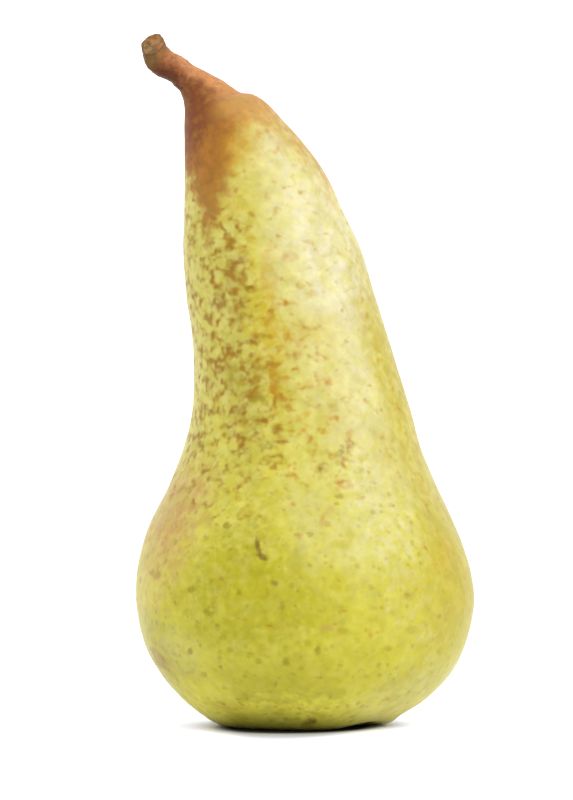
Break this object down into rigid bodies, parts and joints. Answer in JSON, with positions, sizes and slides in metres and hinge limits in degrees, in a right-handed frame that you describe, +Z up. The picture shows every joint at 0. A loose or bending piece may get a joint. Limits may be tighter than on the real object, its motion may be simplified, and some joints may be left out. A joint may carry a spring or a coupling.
{
  "type": "pear",
  "caption": "Long-necked pear, standing upright on its blossom end, with a leaning neck, a russeted top and a bent woody stem.",
  "frame": {"origin": "on the standing surface, below the middle of the belly", "axes": "+Z up, +X to the side away from the lean of the neck, +Y to the back"},
  "size_m": [0.0677, 0.0667, 0.1384],
  "materials": {
    "skin": "smooth waxy fruit skin, green-yellow with tan russet flecks, brown russet round the stem",
    "bark": "dull brown woody stalk with a paler cut end",
    "dried_sepal": "dull, dry and dark brown"
  },
  "bodies": {
    "root": {"fruit": "skin", "stem": "bark", "calyx": "dried_sepal"}
  },
  "joints": []
}
